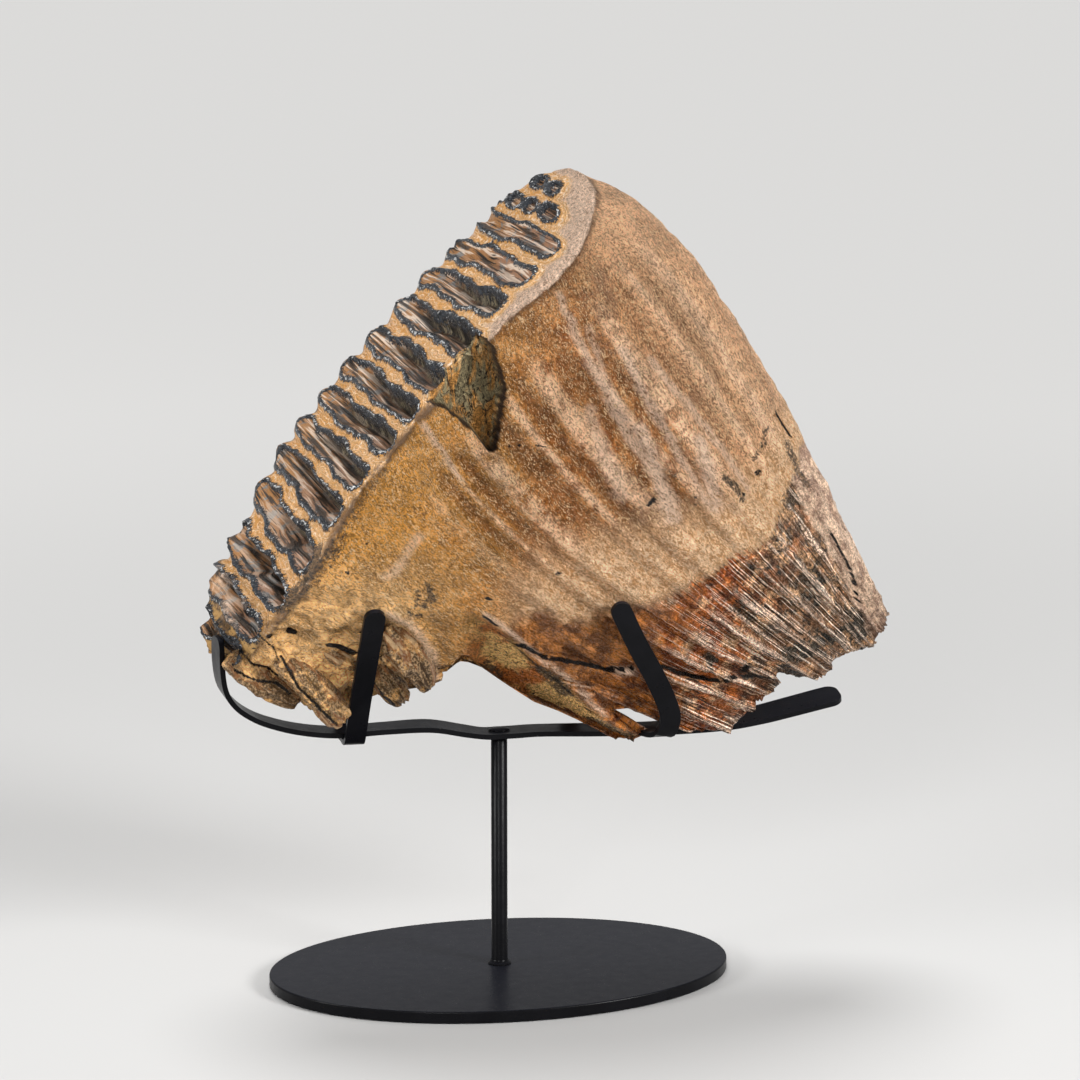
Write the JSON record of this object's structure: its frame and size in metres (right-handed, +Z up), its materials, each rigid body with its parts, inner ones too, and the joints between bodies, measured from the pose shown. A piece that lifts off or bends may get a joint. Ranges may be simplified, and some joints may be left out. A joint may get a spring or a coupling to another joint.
{
  "type": "fossil mammoth tooth on stand",
  "caption": "Fossil mammoth molar with a ridged, worn chewing face and broken roots, held in a black steel cradle on a round post and an oval base plate.",
  "frame": {"origin": "centre of the flat underside of the oval base plate, on the surface that the stand rests on, under the axis of the post", "axes": "+Z up along the post; +X along the base plate's long axis and the tooth's length, from its low end towards the high end of its chewing face; +Y away from the side that shows, across the tooth"},
  "size_m": [0.2707, 0.118, 0.3163],
  "materials": {
    "black_paint": "satin black paint on steel",
    "fossil_tooth": "mineralised tooth: brown fibrous cement, polished dark enamel ridges"
  },
  "bodies": {
    "root": {"base_plate": "black_paint", "post": "black_paint", "post_rivet": "black_paint", "cradle_bar": "black_paint", "left_cradle_strap": "black_paint", "right_cradle_strap": "black_paint", "tooth": "fossil_tooth"}
  },
  "joints": []
}
